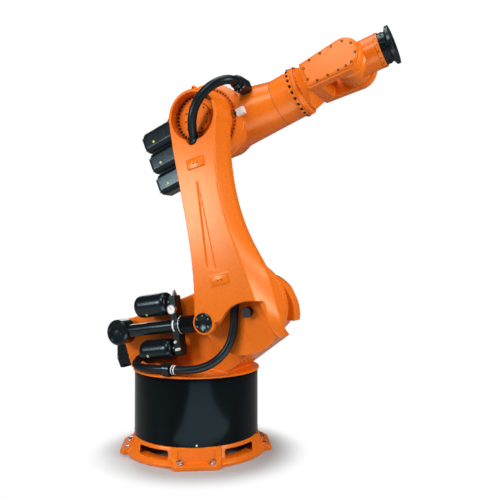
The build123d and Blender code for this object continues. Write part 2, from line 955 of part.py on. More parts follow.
with BuildPart() as balancer_rod:
    with BuildSketch(Plane.YZ.offset(rod_start)):
        Circle(rod_radius)
    extrude(amount=rod_reach - rod_start)
    with BuildSketch(side(rod_eye_half)):
        with Locations((rod_reach, 0)):
            Circle(rod_eye_radius)
    extrude(amount=2 * rod_eye_half)
    with BuildSketch(side(rod_eye_half)):
        with Locations((rod_reach, 0)):
            Circle(link_pin_radius)
    extrude(amount=2 * rod_eye_half, mode=Mode.SUBTRACT)
save(balancer_rod.part, "balancer_rod", balancer_at)

with BuildPart() as bellows:
    with BuildSketch(Plane.XZ):
        with BuildLine():
            fold = (bellows_end - head_end) / bellows_folds
            edge = [(head_end, rod_radius + seat_gap)]
            for index in range(bellows_folds):
                edge.append((head_end + index * fold, bellows_root))
                edge.append((head_end + (index + 0.5) * fold, bellows_radius))
            edge.append((bellows_end, bellows_root))
            edge.append((bellows_end, rod_radius + seat_gap))
            Polyline(*edge, close=True)
        make_face()
    revolve(axis=Axis.X)
save(bellows.part, "bellows", balancer_at)

# Hoses and the clamp on the column's flange
lower_hose = hose(lower_hose_route, lower_hose_radius)
save(lower_hose, "lower_hose", column_at)

with BuildPart() as lower_hose_clamp:
    with BuildSketch(Plane.YZ.offset(clamp_place[0] - clamp_width / 2)):
        with Locations((clamp_place[1], clamp_place[2])):
            Circle(lower_hose_radius + clamp_wall)
        with BuildLine():
            Polyline(
                (clamp_place[1] - lower_hose_radius, clamp_place[2]),
                (clamp_place[1] - lower_hose_radius, slew_top),
                (clamp_place[1] + lower_hose_radius, slew_top),
                (clamp_place[1] + lower_hose_radius, clamp_place[2]),
                close=True,
            )
        make_face()
    extrude(amount=clamp_width)
    add(lower_hose, mode=Mode.SUBTRACT)
    add(column.part, mode=Mode.SUBTRACT)
save(lower_hose_clamp.part, "lower_hose_clamp", column_at)

save(hose(upper_hose_route, upper_hose_radius), "upper_hose", link_at)
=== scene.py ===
import bpy
import bmesh
import json
import math
from mathutils import Matrix, Vector


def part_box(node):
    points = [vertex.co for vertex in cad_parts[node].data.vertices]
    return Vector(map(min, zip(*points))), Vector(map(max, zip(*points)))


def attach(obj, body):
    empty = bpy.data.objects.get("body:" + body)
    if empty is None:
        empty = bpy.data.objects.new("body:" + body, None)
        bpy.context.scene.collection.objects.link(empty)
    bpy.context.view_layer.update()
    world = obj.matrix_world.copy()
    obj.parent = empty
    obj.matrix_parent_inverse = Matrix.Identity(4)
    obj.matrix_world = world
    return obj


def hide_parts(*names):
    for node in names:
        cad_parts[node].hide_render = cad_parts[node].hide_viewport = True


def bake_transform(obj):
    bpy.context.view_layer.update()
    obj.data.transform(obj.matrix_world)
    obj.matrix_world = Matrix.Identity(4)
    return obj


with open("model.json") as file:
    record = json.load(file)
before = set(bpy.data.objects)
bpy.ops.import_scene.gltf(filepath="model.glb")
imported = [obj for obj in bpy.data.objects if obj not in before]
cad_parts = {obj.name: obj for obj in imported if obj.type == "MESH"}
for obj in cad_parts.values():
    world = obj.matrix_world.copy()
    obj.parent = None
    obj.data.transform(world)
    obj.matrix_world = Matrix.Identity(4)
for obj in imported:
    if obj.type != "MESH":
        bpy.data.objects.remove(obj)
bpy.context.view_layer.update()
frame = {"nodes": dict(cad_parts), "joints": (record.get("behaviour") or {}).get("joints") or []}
scene = bpy.context.scene
print("frame loaded", len(frame["nodes"]), "nodes")


def turnBy(degrees, axis):
    return Matrix.Rotation(math.radians(degrees), 4, axis)


def moveBy(x, y, z):
    return Matrix.Translation((x, y, z))


# Local frames of the moving links, read from the joints: y points across the arm, away from the camera
joints = {joint["name"]: joint for joint in frame["joints"]}
across = Vector(joints["axis_2"]["axis"])
upward = Vector((0, 0, 1))


def frameFrom(origin, x=None, z=None):
    y = across.normalized()
    x = (x or y.cross(z)).normalized()
    z = x.cross(y)
    return Matrix.Translation(origin) @ Matrix((x, y, z)).transposed().to_4x4()


def jointPoint(name):
    return Vector(joints[name]["pos_m"])


def jointAxis(name):
    return Vector(joints[name]["axis"])


baseAt = Matrix.Identity(4)
columnAt = frameFrom(Vector(), z=upward)
linkAt = frameFrom(jointPoint("axis_2"), z=jointPoint("axis_3") - jointPoint("axis_2"))
forearmAt = frameFrom(jointPoint("axis_3"), x=jointAxis("axis_4"))
wristAt = frameFrom(jointPoint("axis_5"), x=jointAxis("axis_4"))
handAt = frameFrom(jointPoint("axis_5"), x=jointAxis("axis_6"))
balancerAt = frameFrom(jointPoint("balancer_swing"), x=jointAxis("balancer_slide"))

# A spot on a face of a link has its z pointing out of the face
facings = {
    "near": turnBy(90, "X"), "far": turnBy(-90, "X"), "front": turnBy(90, "Y"), "rear": turnBy(-90, "Y"),
    "up": Matrix.Identity(4),
}


def outOf(place, point, facing):
    return place @ Matrix.Translation(point) @ facings[facing]


# A ring of spots about a spot's z axis
def ringOf(spot, radius, count, start=0.0):
    return [spot @ turnBy(start + 360 / count * i, "Z") @ moveBy(radius, 0, 0) for i in range(count)]


# The same ring with the z of each spot pointing outward
def spokesOf(spot, radius, count):
    return [place @ turnBy(90, "Y") for place in ringOf(spot, radius, count)]


# The shader group that all finishes share
def newGroup(name, inputs, outputs):
    group = bpy.data.node_groups.new(name, "ShaderNodeTree")
    for label, kind, value in inputs:
        socket = group.interface.new_socket(label, in_out="INPUT", socket_type=kind)
        socket.default_value = value
    for label, kind in outputs:
        group.interface.new_socket(label, in_out="OUTPUT", socket_type=kind)
    return group, group.nodes.new("NodeGroupInput"), group.nodes.new("NodeGroupOutput")


# Scale and detail of each noise: the cloud mixes in the shade, the speck roughens, the grain is orange peel
skinSpec = {
    "noises": {"cloud": (3.2, 4), "grain": (420, 2), "speck": (55, 6)},
    "cloudFrom": 0.35, "cloudTo": 0.75, "cloudShare": 0.55, "speckRough": 0.16, "grainDepth": 0.001,
}


def paintGroup():
    group, given, out = newGroup(
        "paintSkin",
        [("Color", "NodeSocketColor", (0.8, 0.2, 0.02, 1)), ("Shade", "NodeSocketColor", (0.6, 0.1, 0.01, 1)),
         ("Roughness", "NodeSocketFloat", 0.35), ("Peel", "NodeSocketFloat", 0.04)],
        [("Color", "NodeSocketColor"), ("Roughness", "NodeSocketFloat"), ("Normal", "NodeSocketVector")])
    add, link = group.nodes.new, group.links.new
    spot = add("ShaderNodeTexCoord")
    noises = {}
    for name, (scale, detail) in skinSpec["noises"].items():
        noises[name] = add("ShaderNodeTexNoise")
        noises[name].inputs["Scale"].default_value = scale
        noises[name].inputs["Detail"].default_value = detail
        link(spot.outputs["Object"], noises[name].inputs["Vector"])
    share = add("ShaderNodeMapRange")
    share.inputs["From Min"].default_value = skinSpec["cloudFrom"]
    share.inputs["From Max"].default_value = skinSpec["cloudTo"]
    share.inputs["To Max"].default_value = skinSpec["cloudShare"]
    link(noises["cloud"].outputs["Fac"], share.inputs["Value"])
    mix = add("ShaderNodeMix")
    mix.data_type = "RGBA"
    link(share.outputs["Result"], mix.inputs["Factor"])
    link(given.outputs["Color"], mix.inputs[6])
    link(given.outputs["Shade"], mix.inputs[7])
    link(mix.outputs[2], out.inputs["Color"])
    rough = add("ShaderNodeMath")
    rough.operation = "MULTIPLY_ADD"
    rough.inputs[1].default_value = skinSpec["speckRough"]
    link(noises["speck"].outputs["Fac"], rough.inputs[0])
    link(given.outputs["Roughness"], rough.inputs[2])
    link(rough.outputs["Value"], out.inputs["Roughness"])
    bump = add("ShaderNodeBump")
    bump.inputs["Distance"].default_value = skinSpec["grainDepth"]
    link(given.outputs["Peel"], bump.inputs["Strength"])
    link(noises["grain"].outputs["Fac"], bump.inputs["Height"])
    link(bump.outputs["Normal"], out.inputs["Normal"])
    return group


paintSkin = paintGroup()


def newMaterial(name):
    material = bpy.data.materials.new(name)
    material.use_nodes = True
    return material, material.node_tree.nodes["Principled BSDF"], material.node_tree


def paint(name, look):
    material, shader, tree = newMaterial(name)
    skin = tree.nodes.new("ShaderNodeGroup")
    skin.node_tree = paintSkin
    skin.inputs["Color"].default_value = (*look["color"], 1)
    skin.inputs["Shade"].default_value = (*look["shade"], 1)
    skin.inputs["Roughness"].default_value = look["roughness"]
    skin.inputs["Peel"].default_value = look["peel"]
    tree.links.new(skin.outputs["Color"], shader.inputs["Base Color"])
    tree.links.new(skin.outputs["Roughness"], shader.inputs["Roughness"])
    tree.links.new(skin.outputs["Normal"], shader.inputs["Normal"])
    shader.inputs["Metallic"].default_value = look.get("metallic", 0)
    shader.inputs["Specular IOR Level"].default_value = look.get("specular", 0.5)
    shader.inputs["Specular Tint"].default_value = (*look.get("tint", (1, 1, 1)), 1)
    return material


looks = {
    "orangePaint": {
        "color": (0.88, 0.182, 0.009), "shade": (0.80, 0.150, 0.006), "roughness": 0.19, "peel": 0.05,
        "specular": 0.36, "tint": (1.0, 0.90, 0.62)},
    "blackPaint": {
        "color": (0.004, 0.006, 0.008), "shade": (0.006, 0.009, 0.011), "roughness": 0.16, "peel": 0.05,
        "specular": 0.42, "tint": (0.62, 0.88, 1.0)},
    "drumPaint": {
        "color": (0.001, 0.0015, 0.002), "shade": (0.0015, 0.002, 0.0025), "roughness": 0.08, "peel": 0.02,
        "specular": 0.13, "tint": (0.55, 0.86, 1.0)},
    "castBlack": {
        "color": (0.005, 0.007, 0.008), "shade": (0.008, 0.010, 0.012), "roughness": 0.34, "peel": 0.16,
        "specular": 0.40, "tint": (0.62, 0.88, 1.0)},
    "hoseRubber": {
        "color": (0.004, 0.006, 0.008), "shade": (0.007, 0.010, 0.012), "roughness": 0.26, "peel": 0.08,
        "specular": 0.30, "tint": (0.62, 0.88, 1.0)},
    "brightSteel": {
        "color": (0.62, 0.62, 0.63), "shade": (0.52, 0.52, 0.54), "roughness": 0.20, "peel": 0.03,
        "metallic": 1.0},
    "brassZinc": {
        "color": (0.46, 0.38, 0.16), "shade": (0.36, 0.30, 0.13), "roughness": 0.28, "peel": 0.06,
        "metallic": 1.0},
    "zincSteel": {
        "color": (0.48, 0.48, 0.47), "shade": (0.38, 0.38, 0.37), "roughness": 0.24, "peel": 0.06,
        "metallic": 1.0},
    "darkSteel": {
        "color": (0.020, 0.021, 0.024), "shade": (0.030, 0.031, 0.034), "roughness": 0.34, "peel": 0.08,
        "metallic": 0.5},
    "whitePlastic": {
        "color": (0.88, 0.88, 0.86), "shade": (0.82, 0.82, 0.79), "roughness": 0.40, "peel": 0.04},
    "yellowPlastic": {
        "color": (0.80, 0.68, 0.16), "shade": (0.72, 0.60, 0.12), "roughness": 0.40, "peel": 0.03},
    # Painted shade: a near-black brown for holes, and for screws that sit in pockets and sockets, standing in
    # for the shade there
    "pocketPaintedShade": {
        "color": (0.012, 0.006, 0.003), "shade": (0.020, 0.009, 0.004), "roughness": 0.6, "peel": 0.05,
        "specular": 0.2},
    # Painted shade: a darker orange for the thin bands at seams, standing in for the shade in the gap between
    # parts
    "seamPaintedShade": {
        "color": (0.30, 0.045, 0.005), "shade": (0.25, 0.038, 0.004), "roughness": 0.5, "peel": 0.05},
}
finish = {name: paint(name, look) for name, look in looks.items()}
print("finishes", len(finish))


# Makes the object of a finished mesh and lets it ride on its body
def pieceOf(name, mesh, body, look, smooth=38, nodes=(), ride=True):
    mesh.materials.clear()
    mesh.materials.append(finish[look])
    mesh.polygons.foreach_set("use_smooth", [True] * len(mesh.polygons))
    mesh.set_sharp_from_angle(angle=math.radians(smooth))
    obj = bpy.data.objects.new(name, mesh)
    scene.collection.objects.link(obj)
    if ride:
        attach(obj, body)
    if nodes:
        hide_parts(*nodes)
    return obj


def keep(name, bm):
    mesh = bpy.data.meshes.new(name)
    bm.to_mesh(mesh)
    bm.free()
    return mesh


def piece(name, bm, body, look, smooth=38, nodes=(), ride=True):
    return pieceOf(name, keep(name, bm), body, look, smooth, nodes, ride)


def roundOff(bm, edges, offset, segments, clamp=False):
    bmesh.ops.bevel(bm, geom=edges, offset=offset, offset_type="OFFSET", affect="EDGES", segments=segments,
                    profile=0.5, material=-1, clamp_overlap=clamp)


def sharpEdges(bm, degrees):
    return [e for e in bm.edges if e.is_manifold and e.calc_face_angle() > math.radians(degrees)]


# A merged copy of a CAD solid
def solidOf(node):
    bm = bmesh.new()
    bm.from_mesh(frame["nodes"][node].data)
    bmesh.ops.remove_doubles(bm, verts=bm.verts, dist=2e-5)
    return bm


# A machined piece: the solid with its sharp edges rounded
def machined(node, body, look, edge=0.003, segments=2, sharp=32, flat=0.6):
    bm = solidOf(node)
    bmesh.ops.dissolve_limit(bm, angle_limit=math.radians(flat), verts=bm.verts, edges=bm.edges)
    roundOff(bm, sharpEdges(bm, sharp), edge, segments, clamp=True)
    made = piece(node + "_body", bm, body, look, nodes=(node,))
    made.modifiers.new("flatFaces", "WEIGHTED_NORMAL").keep_sharp = True
    return made


# A cast piece: the solid remade with an even skin, so that every edge and corner is rounded like a casting's
def cast(node, body, look, skin):
    rough = bpy.data.objects.new(node + "_rough", keep(node + "_rough", solidOf(node)))
    scene.collection.objects.link(rough)
    remesh = rough.modifiers.new("skin", "REMESH")
    remesh.mode = "VOXEL"
    remesh.voxel_size = skin["voxel"]
    soften = rough.modifiers.new("soften", "SMOOTH")
    soften.factor = 0.5
    soften.iterations = skin["rounds"]
    thin = rough.modifiers.new("thin", "DECIMATE")
    thin.ratio = skin["keep"]
    done = bpy.data.meshes.new_from_object(rough.evaluated_get(bpy.context.evaluated_depsgraph_get()))
    bpy.data.objects.remove(rough)
    print("cast", node, len(done.polygons), "faces")
    return pieceOf(node + "_casting", done, body, look, smooth=60, nodes=(node,))


def stub(bm, radius, height, middle, sides):
    made = bmesh.ops.create_cone(bm, cap_ends=True, segments=sides, radius1=radius, radius2=radius,
                                 depth=height)
    bmesh.ops.translate(bm, verts=made["verts"], vec=(0, 0, middle))


def topFace(bm):
    return max(bm.faces, key=lambda face: face.calc_center_median().z)


# Screw heads are made once and set at many spots; their shapes are shares of the radius and the height
screwShape = {"rim": 0.14, "socketWall": 0.36, "socketDepth": 0.55}
boltShape = {"washer": 0.3, "washerMiddle": 0.15, "washerSides": 24, "headMiddle": 0.8, "headSides": 6,
             "rim": 0.07, "sharp": 50}


def capScrew(radius, height, sides=12):
    bm = bmesh.new()
    stub(bm, radius, height, height / 2, sides)
    roundOff(bm, list(topFace(bm).edges), radius * screwShape["rim"], 1)
    bm.faces.ensure_lookup_table()
    top = topFace(bm)
    bmesh.ops.inset_individual(bm, faces=[top], thickness=radius * screwShape["socketWall"])
    pressed = bmesh.ops.extrude_discrete_faces(bm, faces=[top])["faces"]
    bmesh.ops.translate(bm, verts=list({v for face in pressed for v in face.verts}),
                        vec=(0, 0, -height * screwShape["socketDepth"]))
    return keep("capScrew", bm)


def hexBolt(radius, height, washer):
    bm = bmesh.new()
    stub(bm, washer, height * boltShape["washer"], height * boltShape["washerMiddle"],
         boltShape["washerSides"])
    stub(bm, radius, height, height * boltShape["headMiddle"], boltShape["headSides"])
    roundOff(bm, sharpEdges(bm, boltShape["sharp"]), height * boltShape["rim"], 2)
    return keep("hexBolt", bm)


def setOut(name, shape, spots, body, look):
    bm = bmesh.new()
    for spot in spots:
        before = len(bm.verts)
        bm.from_mesh(shape)
        bm.verts.ensure_lookup_table()
        bmesh.ops.transform(bm, matrix=spot, verts=bm.verts[before:])
    return piece(name, bm, body, look)


# A turned piece: a profile of (radius, height) points spun about a spot's z axis
def turned(name, profile, spot, body, look, steps=72, nodes=(), smooth=30, closed=False):
    bm = turnedMesh(profile, steps, closed)
    bmesh.ops.transform(bm, matrix=spot, verts=bm.verts)
    return piece(name, bm, body, look, smooth, nodes)


def turnedMesh(profile, steps, closed):
    bm = bmesh.new()
    points = [bm.verts.new((radius, 0, height)) for radius, height in profile]
    edges = [bm.edges.new(pair) for pair in zip(points, points[1:])]
    if closed:
        edges.append(bm.edges.new((points[-1], points[0])))
    bmesh.ops.spin(bm, geom=points + edges, axis=(0, 0, 1), cent=(0, 0, 0), angle=2 * math.pi, steps=steps,
                   use_merge=True)
    bmesh.ops.remove_doubles(bm, verts=bm.verts, dist=1e-5)
    bmesh.ops.recalc_face_normals(bm, faces=bm.faces)
    return bm


# A thin band lying round a turned surface, with its spot's z along the axis
bandShape = {"step": 0.6, "flat": 0.5}


def band(name, spot, radius, width, proud, body, look, steps=96):
    half = width / 2
    inside, step, outside = radius - proud, radius + proud * bandShape["step"], radius + proud
    flat = half * bandShape["flat"]
    profile = [(inside, -half), (step, -half), (outside, -flat),
               (outside, flat), (step, half), (inside, half)]
    return turned(name, profile, spot, body, look, steps, closed=True)


seamProud = 0.0007


# A seam is a thin band in darker orange: painted shade of the gap between the parts
def seam(name, spot, radius, width, body):
    return band(name, spot, radius, width, seamProud, body, "seamPaintedShade")


# A small flat block with rounded edges, its spot's z out of the face it stands on
def block(name, spot, size, body, look, edge, segments=2):
    bm = bmesh.new()
    bmesh.ops.create_cube(bm, size=1, matrix=moveBy(0, 0, size[2] / 2) @ Matrix.Diagonal((*size, 1)))
    roundOff(bm, list(bm.edges), edge, segments)
    bmesh.ops.transform(bm, matrix=spot, verts=bm.verts)
    return piece(name, bm, body, look)


# Base: cast foot with anchor bolts, and the drum
footSpec = {
    "skin": {"voxel": 0.0035, "rounds": 6, "keep": 0.30},
    "plateTop": 0.028, "boltReach": 0.480, "boltSpread": 0.112, "bolt": (0.022, 0.017, 0.031),
}
cast("base_foot", "base", "orangePaint", footSpec["skin"])
quarters = [turnBy(90 * quarter, "Z") for quarter in range(4)]
anchorSpots = [quarter @ moveBy(side * footSpec["boltSpread"], -footSpec["boltReach"], footSpec["plateTop"])
               for quarter in quarters for side in (-1, 1)]
setOut("anchor_bolts", hexBolt(*footSpec["bolt"]), anchorSpots, "base", "zincSteel")

drumLow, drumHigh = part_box("base_drum")
drumSpec = {
    "wall": 0.025, "deck": 0.30, "chamfer": 0.007, "lip": 0.003, "groove": 0.002,
    "grooveDrops": (0.012, 0.010, 0.006, 0.004), "steps": 160, "screw": (0.007, 0.004), "screwRise": 0.014,
}
drumRadius, drumTop = drumHigh.x, drumHigh.z
drumInside, deckUnder = drumRadius - drumSpec["wall"], drumTop - drumSpec["wall"]
drumEdge, grooveRadius = drumTop - drumSpec["chamfer"], drumRadius - drumSpec["groove"]
grooveHeights = [drumEdge - drop for drop in drumSpec["grooveDrops"]]
drumProfile = [
    (drumInside, drumLow.z), (drumRadius - drumSpec["lip"], drumLow.z),
    (drumRadius, drumLow.z + drumSpec["lip"]), (drumRadius, grooveHeights[0]),
    (grooveRadius, grooveHeights[1]), (grooveRadius, grooveHeights[2]), (drumRadius, grooveHeights[3]),
    (drumRadius, drumEdge), (drumRadius - drumSpec["chamfer"], drumTop), (drumSpec["deck"], drumTop),
    (drumSpec["deck"], deckUnder), (drumInside, deckUnder),
]
turned("base_drum_shell", drumProfile, baseAt, "base", "drumPaint", drumSpec["steps"], nodes=("base_drum",),
       closed=True)
drumScrewSpot = outOf(baseAt, (0, -drumRadius, drumLow.z + drumSpec["screwRise"]), "near")
setOut("drum_screws", capScrew(*drumSpec["screw"]), [quarter @ drumScrewSpot for quarter in quarters], "base",
       "zincSteel")
machined("slewing_ring", "base", "darkSteel", edge=0.001)
print("base done")

# Column with its motors, gear, cable box and the pivot of the counterbalance
columnSpec = {"skin": {"voxel": 0.0042, "rounds": 9, "keep": 0.22}}
cast("column", "column", "orangePaint", columnSpec["skin"])
machined("slew_motor", "column", "blackPaint", edge=0.004)
machined("shoulder_gear", "column", "orangePaint", edge=0.006, segments=3)
machined("shoulder_motor", "column", "blackPaint", edge=0.004)
machined("cable_box", "column", "blackPaint", edge=0.005)
machined("trunnion_pin", "column", "darkSteel", edge=0.002)
machined("lower_hose_clamp", "column", "blackPaint", edge=0.002)

# Every motor has a screw at each corner of its end
endScrewSpec = {"screw": (0.006, 0.005), "count": 4, "start": 45}
endScrew = capScrew(*endScrewSpec["screw"])


def endScrews(spot, circle):
    return ringOf(spot, circle, endScrewSpec["count"], endScrewSpec["start"])


shoulderSpec = {
    "gearFace": 0.215, "circle": 0.184, "count": 16, "screw": (0.009, 0.008),
    "motorEnd": 0.480, "motorShift": -0.050, "motorCircle": 0.088,
}
shoulderPoint = columnAt.inverted() @ jointPoint("axis_2")
gearSpot = outOf(columnAt, (shoulderPoint.x, shoulderSpec["gearFace"], shoulderPoint.z), "far")
setOut("shoulder_gear_screws", capScrew(*shoulderSpec["screw"]),
       ringOf(gearSpot, shoulderSpec["circle"], shoulderSpec["count"]), "column", "darkSteel")
shoulderEnd = (shoulderPoint.x + shoulderSpec["motorShift"], shoulderSpec["motorEnd"], shoulderPoint.z)
slewSpec = {"at": (-0.290, 0.150, 1.032), "circle": 0.080}
setOut("column_motor_screws", endScrew,
       endScrews(outOf(columnAt, shoulderEnd, "far"), shoulderSpec["motorCircle"])
       + endScrews(outOf(columnAt, slewSpec["at"], "up"), slewSpec["circle"]), "column", "zincSteel")

boxSpec = {"x": (-0.552, -0.450), "z": (0.640, 0.740), "near": -0.205, "screw": (0.006, 0.003)}
setOut("cable_box_screws", capScrew(*boxSpec["screw"]),
       [outOf(columnAt, (x, boxSpec["near"], z), "near") for x in boxSpec["x"] for z in boxSpec["z"]],
       "column", "zincSteel")

capSpec = {
    "face": -0.3683, "bolt": (0.013, 0.009, 0.018), "boltSeat": 0.010,
    "profile": [
        (0, 0), (0, 0.010), (0.030, 0.010), (0.034, 0.005), (0.045, 0.005), (0.049, 0.012), (0.062, 0.012),
        (0.066, 0.018), (0.077, 0.018), (0.088, 0.007), (0.090, 0.004), (0.090, 0)],
}
pivotPoint = columnAt.inverted() @ jointPoint("balancer_swing")
capSpot = outOf(columnAt, (pivotPoint.x, capSpec["face"], pivotPoint.z), "near")
turned("trunnion_cap_turned", capSpec["profile"], capSpot, "column", "blackPaint", nodes=("trunnion_cap",))
setOut("trunnion_bolt", hexBolt(*capSpec["bolt"]), [capSpot @ moveBy(0, 0, capSpec["boltSeat"])], "column",
       "darkSteel")

tieSpec = {"at": (0.082, 0.100), "side": -0.4445, "height": 0.630, "radius": 0.0285, "width": 0.006,
           "proud": 0.002, "steps": 40}
for index, along in enumerate(tieSpec["at"]):
    band(f"hose_tie_{index}", outOf(columnAt, (along, tieSpec["side"], tieSpec["height"]), "front"),
         tieSpec["radius"], tieSpec["width"], tieSpec["proud"], "column", "whitePlastic", tieSpec["steps"])
print("column done")

# Link arm with the gear ring and cover in its elbow recess, and the pin of the counterbalance
linkSpec = {"skin": {"voxel": 0.0031, "rounds": 12, "keep": 0.18}}
cast("link_arm", "link_arm", "orangePaint", linkSpec["skin"])
machined("elbow_gear_ring", "link_arm", "orangePaint", edge=0.002)
machined("elbow_cover", "link_arm", "orangePaint", edge=0.004)
machined("hose_connector", "link_arm", "darkSteel", edge=0.003)

recessSpec = {
    "ringFace": -0.324, "ringCircle": 0.148, "ringCount": 36, "ringScrew": (0.0074, 0.010), "ringSides": 10,
    "coverFace": -0.336, "coverCircle": 0.086, "coverCount": 10, "coverScrew": (0.006, 0.004),
}
elbowHeight = (linkAt.inverted() @ jointPoint("axis_3")).z
ringSpot = outOf(linkAt, (0, recessSpec["ringFace"], elbowHeight), "near")
coverSpot = outOf(linkAt, (0, recessSpec["coverFace"], elbowHeight), "near")
setOut("gear_ring_screws", capScrew(*recessSpec["ringScrew"], sides=recessSpec["ringSides"]),
       ringOf(ringSpot, recessSpec["ringCircle"], recessSpec["ringCount"]), "link_arm", "darkSteel")
setOut("elbow_cover_screws", capScrew(*recessSpec["coverScrew"]),
       ringOf(coverSpot, recessSpec["coverCircle"], recessSpec["coverCount"]), "link_arm", "darkSteel")

padSpec = {
    "upper": (-0.044, 0.985), "lower": (-0.046, 0.196), "size": (0.124, 0.058, 0.0015), "edge": 0.001,
    "face": -0.405, "holes": (-0.013, 0.015), "hole": (0.0045, 0.0010),
}
padHoles = []
for name in ("upper", "lower"):
    along, height = padSpec[name]
    padSpot = outOf(linkAt, (along, padSpec["face"], height), "near")
    block(f"pad_plate_{name}", padSpot, padSpec["size"], "link_arm", "orangePaint", padSpec["edge"])
    padHoles += [padSpot @ moveBy(shift, 0, padSpec["size"][2]) for shift in padSpec["holes"]]
# The pads' holes are small discs in near-black brown: painted shade of the holes
setOut("pad_holes", capScrew(*padSpec["hole"]), padHoles, "link_arm", "pocketPaintedShade")

pinSpec = {
    "at": (-0.230, -0.400, -0.048), "circle": 0.047, "count": 6, "start": 20, "screw": (0.0055, 0.004),
    "screwSeat": 0.010,
    "profile": [
        (0, -0.048), (0, 0.008), (0.030, 0.008), (0.034, 0.010), (0.058, 0.010), (0.063, 0.007),
        (0.065, 0.003), (0.065, 0), (0.0398, 0), (0.0398, -0.048)],
}
pinSpot = outOf(linkAt, pinSpec["at"], "near")
turned("balancer_pin_turned", pinSpec["profile"], pinSpot, "link_arm", "blackPaint", nodes=("balancer_pin",))
pinSeat = pinSpot @ moveBy(0, 0, pinSpec["screwSeat"])
setOut("pin_screws", capScrew(*pinSpec["screw"]),
       ringOf(pinSeat, pinSpec["circle"], pinSpec["count"], pinSpec["start"]), "link_arm", "brassZinc")

bootSpec = {
    "at": (-0.036, -0.358, 1.122),
    "profile": [(0.0315, 0), (0.043, 0), (0.044, 0.008), (0.038, 0.028), (0.034, 0.042), (0.0315, 0.044)],
    "seatAt": (0.000, -0.352, 1.140), "seatLean": -38, "seatSteps": 48,
    "seat": [(0, -0.012), (0, 0.010), (0.026, 0.010), (0.040, 0.004), (0.046, -0.003), (0.046, -0.012)],
}
turned("hose_boot", bootSpec["profile"], outOf(linkAt, bootSpec["at"], "up"), "link_arm", "hoseRubber",
       closed=True)
seatSpot = outOf(linkAt, bootSpec["seatAt"], "up") @ turnBy(bootSpec["seatLean"], "Y")
turned("hose_seat", bootSpec["seat"], seatSpot, "link_arm", "hoseRubber", bootSpec["seatSteps"])
print("link arm done")

# Forearm with its three wrist motors, the elbow motor and the hose's bracket
forearmSpec = {"skin": {"voxel": 0.0036, "rounds": 8, "keep": 0.22}, "drop": -0.055}
cast("forearm", "forearm", "orangePaint", forearmSpec["skin"])
machined("elbow_hub_ring", "forearm", "orangePaint", edge=0.003)
machined("motor_carrier", "forearm", "orangePaint", edge=0.006, segments=3)
machined("stop_buffer", "forearm", "whitePlastic", edge=0.008, segments=3)
machined("hose_bracket", "forearm", "blackPaint", edge=0.012, segments=3)

hubSpec = {
    "face": -0.205, "circle": 0.224, "count": 56, "screw": (0.0056, 0.006), "sides": 10,
    "stopScrew": (0.012, 0.012, 0.015), "stopAt": (0.226, -0.205, -0.052),
}
setOut("hub_screws", capScrew(*hubSpec["screw"], sides=hubSpec["sides"]),
       ringOf(outOf(forearmAt, (0, hubSpec["face"], 0), "near"), hubSpec["circle"], hubSpec["count"]),
       "forearm", "darkSteel")
setOut("stop_screw", hexBolt(*hubSpec["stopScrew"]), [outOf(forearmAt, hubSpec["stopAt"], "near")], "forearm",
       "darkSteel")

rollSpec = {
    "seam": 0.485, "seamWidth": 0.003, "tube": 0.161, "pocketFace": 0.633, "pocketCircle": 0.1655,
    "pockets": 24, "screw": (0.0092, 0.012),
}
seam("forearm_seam", outOf(forearmAt, (rollSpec["seam"], 0, forearmSpec["drop"]), "front"), rollSpec["tube"],
     rollSpec["seamWidth"], "forearm")
pocketSpot = outOf(forearmAt, (rollSpec["pocketFace"], 0, forearmSpec["drop"]), "rear")
setOut("roll_flange_screws", capScrew(*rollSpec["screw"]),
       # The screws in the flange's pockets are near-black brown: painted shade of the pockets
       ringOf(pocketSpot, rollSpec["pocketCircle"], rollSpec["pockets"]), "forearm", "pocketPaintedShade")

motorSpec = {
    "heights": {"upper": 0.126, "middle": -0.044, "lower": -0.214}, "rear": -0.578, "side": -0.060,
    "circle": 0.070, "near": -0.138, "plugAt": -0.480, "plugDrop": -0.024, "plug": (0.009, 0.004),
    "elbowEnd": (-0.050, 0.495, 0.040), "elbowCircle": 0.088,
}
motorEnds, motorPlugs = [], []
for name, height in motorSpec["heights"].items():
    machined("wrist_motor_" + name, "forearm", "blackPaint", edge=0.005)
    motorEnds += endScrews(outOf(forearmAt, (motorSpec["rear"], motorSpec["side"], height), "rear"),
                           motorSpec["circle"])
    plugPoint = (motorSpec["plugAt"], motorSpec["near"], height + motorSpec["plugDrop"])
    motorPlugs.append(outOf(forearmAt, plugPoint, "near"))
machined("elbow_motor", "forearm", "blackPaint", edge=0.004)
motorEnds += endScrews(outOf(forearmAt, motorSpec["elbowEnd"], "far"), motorSpec["elbowCircle"])
setOut("forearm_motor_screws", endScrew, motorEnds, "forearm", "zincSteel")
setOut("motor_plugs", capScrew(*motorSpec["plug"]), motorPlugs, "forearm", "yellowPlastic")

nutSpec = {
    "at": (0.3275, -0.252, 0.1184), "screws": [(0.310, 0.062), (0.335, 0.058), (0.360, 0.062)],
    "screw": (0.006, 0.004),
    "profile": [
        (0.0315, 0), (0.046, 0), (0.046, 0.010), (0.042, 0.014), (0.040, 0.026), (0.036, 0.030),
        (0.0315, 0.030)],
}
turned("hose_nut", nutSpec["profile"], outOf(forearmAt, nutSpec["at"], "near"), "forearm", "blackPaint",
       closed=True)
setOut("bracket_screws", capScrew(*nutSpec["screw"]),
       [outOf(forearmAt, (x, nutSpec["at"][1], z), "near") for x, z in nutSpec["screws"]],
       "forearm", "zincSteel")
print("forearm done")

